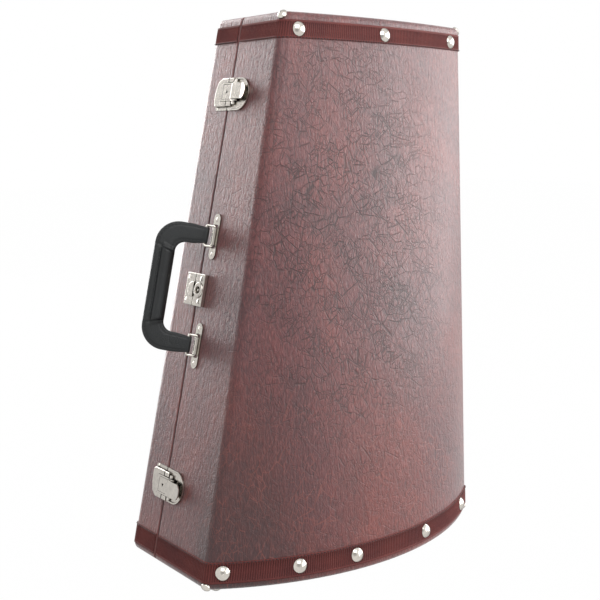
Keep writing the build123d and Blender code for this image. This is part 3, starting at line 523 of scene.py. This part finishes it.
def spread(path, count):
    """Evenly spaced (point, direction) along a polyline, count steps from end to end."""
    lengths = [0.0]
    for a, b in zip(path, path[1:]):
        lengths.append(lengths[-1] + (b - a).length)
    places, k = [], 0
    for i in range(count + 1):
        distance = lengths[-1] * i / count
        while k < len(path) - 2 and lengths[k + 1] < distance:
            k += 1
        along = path[k + 1] - path[k]
        share = (distance - lengths[k]) / max(along.length, 1e-9)
        places.append((path[k] + along * share, along.normalized()))
    return places


def run_length(path):
    return sum((b - a).length for a, b in zip(path, path[1:]))


def beside(along, turn):
    """The direction square to a path's own, to the right of it where turn is 1."""
    return Vector((along.y, -along.x)) * turn


# Webbing: fine upright ribs between two plain edges, sewn along the edge nearer the middle
RIB = 2.7
RIB_STEPS = 6
WEB_THICKNESS = 1.25
WEB_EDGE_ROWS = (0.0, 0.5, 1.5, 2.2, 2.6)
VALLEY_SHARE = 0.34
STITCH_PITCH = 4.0
STITCH_IN = 1.0
LIP = 2.9
FACINGS = {deep_outline: 1, thin_outline: -1}


def webbing(node, outline, low, width, body, sewn_at_top):
    turn = FACINGS[outline]
    steps = round(run_length(outline(low + width / 2, 0.0, LIP)) / RIB) * RIB_STEPS
    rows = [*WEB_EDGE_ROWS, width / 3, width / 2, width * 2 / 3]
    rows += [width - row for row in reversed(WEB_EDGE_ROWS)]
    ribbed = range(len(WEB_EDGE_ROWS) - 1, len(rows) - len(WEB_EDGE_ROWS) + 1)
    rings = []
    for row, up in enumerate(rows):
        ring = []
        for i, (point, along) in enumerate(spread(outline(low + up, 0.0, LIP), steps)):
            normal = beside(along, turn)
            thick = WEB_THICKNESS
            if row in (0, len(rows) - 1):
                thick *= 0.3
            elif row in ribbed:
                thick *= 1 - VALLEY_SHARE + VALLEY_SHARE * math.cos(2 * math.pi * i / RIB_STEPS)
            here = point + normal * thick
            ring.append(world((here.x, here.y, low + up)))
        rings.append(ring)
    verts, faces = skin(rings, closed=False)
    add_piece(node + "_ribbed", verts, faces, WEBBING, body, (node,))
    z = low + (width - STITCH_IN if sewn_at_top else STITCH_IN)
    sewn = outline(z, 0.0, LIP)
    places = []
    for point, along in spread(sewn, round(run_length(sewn) / STITCH_PITCH))[1:-1]:
        normal = beside(along, turn)
        here = point + normal * WEB_THICKNESS
        places.append((world((here.x, here.y, z)), along.to_3d(), normal.to_3d()))
    stitches(node + "_stitches", places, RED_THREAD, body, BAND_STITCH)


# Each band's lower edge, width and whether its stitches run along the upper edge
BAND_PLACES = {"bottom": (8.0, 23.0, True), "top": (HEIGHT - 29.0, 20.0, False)}
for end, (low, width, sewn_at_top) in BAND_PLACES.items():
    webbing("base_band_" + end, deep_outline, low, width, "base", sewn_at_top)
    webbing("lid_band_" + end, thin_outline, low, width, "lid", sewn_at_top)


# Plush: linings laid round the walls, padded supports and the lid's pad
def wave(*parts):
    return sum(math.sin(part) for part in parts) / len(parts)


INSET = BOARD + LINING
LOOSE = 0.6


def lining(node, outline, body, lip):
    """Glued cloth over the walls and both ends, slightly loose between its glued places."""
    turn = FACINGS[outline]
    rings = []
    rows, columns = 40, 96
    for row in range(rows + 1):
        z = INSET + (HEIGHT - 2 * INSET) * row / rows
        ring = []
        for i, (point, along) in enumerate(spread(outline(z, -INSET, lip), columns)):
            loose = 0.5 + 0.5 * wave(i * 0.83 + row * 0.31, i * 0.37 - row * 0.91, row * 0.53 + 2)
            here = point - beside(along, turn) * loose * LOOSE
            ring.append(world((here.x, here.y, z)))
        rings.append(ring)
    verts, faces = skin(rings, closed=False)
    count = len(rings[0])
    faces.append(tuple(range(count)))
    faces.append(tuple(range(rows * count, (rows + 1) * count)))
    cloth = add_piece(node + "_cloth", verts, faces, PLUSH, body, (node,))
    # It is cut from one sheet, with a flap at each end that covers the case's end
    ends = [outline(z, -INSET, lip) for z in (INSET, HEIGHT - INSET)]


def applied(piece):
    """The piece's mesh with its modifiers worked in."""
    graph = bpy.context.evaluated_depsgraph_get()
    mesh = bpy.data.meshes.new_from_object(piece.evaluated_get(graph), depsgraph=graph)
    piece.modifiers.clear()
    piece.data = mesh


# Cushions: the remesh's cell in metres, the air pressure and the frames that the cloth runs for
CELL = 0.005
PRESSURE = 4.0
FRAMES = 20


def cushion(node, body, start_in, cap):
    """A padded copy of a soft solid: remeshed, drawn in, blown up as cloth, kept within cap."""
    source = nodes[node]
    piece = bpy.data.objects.new(node + "_padded", source.data.copy())
    piece.matrix_world = source.matrix_world.copy()
    ride(piece, body, (node,))
    remesh = piece.modifiers.new("even", "REMESH")
    remesh.mode = "VOXEL"
    remesh.voxel_size = CELL
    applied(piece)
    for vertex in piece.data.vertices:
        vertex.co -= vertex.normal * start_in
    before = [vertex.co.copy() for vertex in piece.data.vertices]
    cloth = piece.modifiers.new("swell", "CLOTH")
    cloth.settings.use_pressure = True
    cloth.settings.uniform_pressure_force = PRESSURE
    cloth.settings.effector_weights.gravity = 0.0
    for frame_number in range(1, FRAMES + 1):
        scene.frame_set(frame_number)
    applied(piece)
    scene.frame_set(1)
    for vertex, start in zip(piece.data.vertices, before):
        moved = vertex.co - start
        if moved.length > cap:
            vertex.co = start + moved.normalized() * cap
    piece.data.materials.clear()
    piece.data.materials.append(PLUSH)
    piece.data.polygons.foreach_set("use_smooth", [True] * len(piece.data.polygons))
    smoothed(piece)


lining("base_lining", deep_outline, "base", 22.0)
lining("lid_lining", thin_outline, "lid", 8.0)
cushion("lid_pad", "lid", 0.0012, 0.002)
for name in ("bell_saddle", "valve_saddle", "neck_saddle"):
    cushion(name, "base", 0.0025, 0.003)


# Handle: the rings' axis over the slanted side, the lean at rest and the strap's sizes
HANDLE_V = -18.5
HANDLE_H = 2.3
HANDLE_LEAN = math.radians(40.0)
FLAT_HALF = 2.9
EYE_HALF = 3.9
END_HALF = 1.2
ROLL_HALF = 9.0
ROLL_SHARE = 0.64
FLAP_HALF = 3.5
WEB_HALF = 1.6
GROOVE = 0.45
INNER_SEAM = 0.14
OUTER_SEAM = 0.86
FLAP_SEAM = 0.70
HANDLE_STITCH_PITCH = 0.0034


def grip_point(x, y, z):
    """x along the grip, y away from the case in the handle's plane, z its thickness."""
    v = HANDLE_V + y * math.sin(HANDLE_LEAN) - z * math.cos(HANDLE_LEAN)
    h = HANDLE_H + y * math.cos(HANDLE_LEAN) + z * math.sin(HANDLE_LEAN)
    return on_side(MIDDLE_U + x, v, h)


def both_halves(leg, turn, grip, counts):
    """Points along one edge of the strap, from one eye over the grip to the other eye."""
    half = []
    for line, count in zip((leg, turn, grip), counts):
        half = half[:-1] + [place[0] for place in spread(line, count)]
    return half + [Vector((-point.x, point.y)) for point in reversed(half[:-1])]


LEG_STEPS, TURN_STEPS, GRIP_STEPS = 25, 29, 51
STEPS = (LEG_STEPS, TURN_STEPS, GRIP_STEPS)
# Both edges of the strap, as leg, turn and half the grip: x from the middle, y from the rings' axis
outer_leg = [Vector(p) for p in ((71.8, 5.7), (71.8, 11), (73.5, 25), (73.5, 38))]
inner_leg = [Vector(p) for p in ((53.2, 5.7), (53.2, 11), (51.3, 22), (51.0, 30))]
outer_turn = round_corner(Vector((46.5, 38)), 27, 0, math.pi / 2, 24)
inner_turn = round_corner(Vector((40, 30)), 11, 0, math.pi / 2, 24)
OUTER = both_halves(outer_leg, outer_turn, [Vector((46.5, 65)), Vector((0, 65))], STEPS)
INNER = both_halves(inner_leg, inner_turn, [Vector((40, 41)), Vector((0, 41))], STEPS)
TOTAL = len(OUTER)
TURN_END = LEG_STEPS + TURN_STEPS


def hump(t, centre, width):
    return math.exp(-((t - centre) / width) ** 2)


def ease(t, low, high):
    share = max(0.0, min(1.0, (t - low) / (high - low)))
    return share * share * (3 - 2 * share)


def strap_half(i, w):
    """Half the strap's thickness at station i and share w of its width, inner edge to outer."""
    k = min(i, TOTAL - 1 - i)
    into_grip = k - (TURN_END - 5)
    pad = ease(into_grip, 0, 10)
    rim = (1 - abs(2 * w - 1) ** 5.0) ** 0.5 if abs(2 * w - 1) < 1 else 0.0
    sewn_lines = GROOVE * (hump(w, 0.15, 0.045) + hump(w, 0.85, 0.045))
    flat = FLAT_HALF * rim - sewn_lines * (1 - pad)
    # A padded roll on the inner two thirds, a folded flap outside it
    u = w / ROLL_SHARE
    roll = ROLL_HALF * math.sqrt(max(0.0, 1 - (2 * u - 1) ** 2)) if u < 1 else 0.0
    flap = FLAP_HALF * math.sqrt(max(0.0, 1 - max(0.0, (w - 0.80) / 0.20) ** 2)) if w > 0.55 else 0.0
    flap *= ease(w, 0.56, 0.68)
    tube = max(roll, flap, WEB_HALF if 0.1 < w < 0.9 else 0.0)
    value = flat * (1 - pad) + tube * pad
    # Drawn in where the strap enters the grip, and closed over the eye at its end
    value *= 1 - 0.28 * hump(into_grip, 5.5, 1.3)
    if k == 0:
        return END_HALF * rim
    if k < 3:
        return max(value, EYE_HALF * rim)
    if k < 6:
        return value + rim * (1 - (k - 2) / 4)
    return value


def strap_point(i, w, side):
    flat = INNER[i] + (OUTER[i] - INNER[i]) * w
    return grip_point(flat.x, flat.y, strap_half(i, w) * side)


def make_handle():
    across = 34
    shares = [0.5 - 0.5 * math.cos(math.pi * j / across) for j in range(across + 1)]
    rings = []
    for i in range(TOTAL):
        ring = [strap_point(i, w, 1) for w in shares]
        ring += [strap_point(i, w, -1) for w in reversed(shares[1:-1])]
        rings.append(ring)
    verts, faces = skin(rings)
    strap = add_piece("handle_strap", verts, faces, GRIP, "handle", ("handle_grip",))
    smoothed(strap)


def handle_stitches():
    places = []

    def row(w, first, last, side):
        walked = 0.0
        for i in range(first, last - 1):
            a, b = strap_point(i, w, side), strap_point(i + 1, w, side)
            walked += (b - a).length
            if walked >= HANDLE_STITCH_PITCH:
                walked = 0.0
                out = grip_point(0, 0, side) - grip_point(0, 0, 0)
                places.append(((a + b) / 2, b - a, out))
    near_eye, far_eye = 7, TOTAL - 8
    far_turn = TOTAL - 1 - TURN_END
    for side in (1, -1):
        row(OUTER_SEAM, near_eye, TURN_END + 3, side)
        row(OUTER_SEAM, far_turn - 3, far_eye, side)
        row(FLAP_SEAM, TURN_END + 3, far_turn - 3, side)
        row(INNER_SEAM, near_eye, TURN_END - 3, side)
        row(INNER_SEAM, far_turn + 3, far_eye, side)
    stitches("handle_stitches", places, BLACK_THREAD, "handle", HANDLE_STITCH)


make_handle()
handle_stitches()


# Camera at the photograph's viewpoint
CAMERA_PLACE = (-775.27, -1089.35, 482.19)
CAMERA_DOWN = 8.29
CAMERA_ROUND = 36.15
camera_data = bpy.data.cameras.new("camera")
camera_data.lens = 66.94
camera_data.sensor_width = 36.0
camera_data.clip_start = 0.05
camera_data.clip_end = 50
camera = bpy.data.objects.new("camera", camera_data)
camera.location = world(CAMERA_PLACE)
camera.rotation_euler = Euler((math.radians(90 - CAMERA_DOWN), 0, math.radians(-CAMERA_ROUND)), "XYZ")
scene.collection.objects.link(camera)
scene.camera = camera
scene.view_settings.view_transform = "Standard"


# Pale floor and backdrop, whose white is seen by camera, glossy and transmission rays alone
FLOOR_WHITE = 0.995
FLOOR_REACH = 9
SOFT_LIGHT = 0.32


def seen_directly(tree):
    """A value of 1 for the rays that show the background, 0 for those that light the object."""
    rays = tree.nodes.new("ShaderNodeLightPath").outputs
    value = rays["Is Camera Ray"]
    for name in ("Is Glossy Ray", "Is Transmission Ray"):
        either = tree.nodes.new("ShaderNodeMath")
        either.operation = "MAXIMUM"
        tree.links.new(value, either.inputs[0])
        tree.links.new(rays[name], either.inputs[1])
        value = either.outputs[0]
    return value


def floor_material():
    g = Graph("pale_floor")
    tree = g.tree
    g.finish(Base_Color=(0.50, 0.50, 0.50, 1), Roughness=0.9, Specular_IOR_Level=0.1)
    white = tree.nodes.new("ShaderNodeEmission")
    share = g.times(seen_directly(tree), FLOOR_WHITE)
    blend = tree.nodes.new("ShaderNodeMixShader")
    tree.links.new(share, blend.inputs[0])
    tree.links.new(g.shader.outputs[0], blend.inputs[1])
    tree.links.new(white.outputs[0], blend.inputs[2])
    target = next(node for node in tree.nodes if node.type == "OUTPUT_MATERIAL")
    tree.links.new(blend.outputs[0], target.inputs[0])
    return g.material


def stage_plane(name, corners, material):
    mesh = bpy.data.meshes.new(name)
    mesh.from_pydata(corners, [], [(0, 1, 2, 3)])
    mesh.materials.append(material)
    plane = bpy.data.objects.new(name, mesh)
    scene.collection.objects.link(plane)


far = FLOOR_REACH
stage_plane("floor", [(-far, -far, 0), (far, -far, 0), (far, far, 0), (-far, far, 0)], floor_material())

world_settings = bpy.data.worlds.new("studio")
scene.world = world_settings
world_settings.use_nodes = True
sky = world_settings.node_tree
sky.nodes.clear()
soft = sky.nodes.new("ShaderNodeBackground")
soft.inputs[0].default_value = (1, 1, 1, 1)
soft.inputs[1].default_value = SOFT_LIGHT
plain = sky.nodes.new("ShaderNodeBackground")
plain.inputs[0].default_value = (1, 1, 1, 1)
blend = sky.nodes.new("ShaderNodeMixShader")
sky_out = sky.nodes.new("ShaderNodeOutputWorld")
sky.links.new(seen_directly(sky), blend.inputs[0])
sky.links.new(soft.outputs[0], blend.inputs[1])
sky.links.new(plain.outputs[0], blend.inputs[2])
sky.links.new(blend.outputs[0], sky_out.inputs[0])


# Lamps aim at the middle of the case: direction, distance, size and power in watts
LAMP_TARGET = Vector((0, 0, 0.32))


def lamp(name, direction, distance, size, power):
    toward = Vector(direction).normalized()
    data = bpy.data.lights.new(name, "AREA")
    data.shape = "RECTANGLE"
    data.size, data.size_y = size
    data.energy = power
    box = bpy.data.objects.new(name, data)
    box.location = LAMP_TARGET + toward * distance
    box.rotation_euler = (-toward).to_track_quat("-Z", "Y").to_euler()
    scene.collection.objects.link(box)


lamp("left_back_box", (-0.10, 0.99, 0.28), 2.6, (1.6, 2.2), 68)
lamp("right_box", (0.95, -0.30, 0.24), 2.2, (1.6, 1.8), 36)
lamp("front_right_box", (0.56, -0.80, 0.22), 2.6, (2.0, 1.8), 29)
lamp("top_box", (-0.40, -0.60, 0.70), 1.3, (0.9, 0.9), 9)
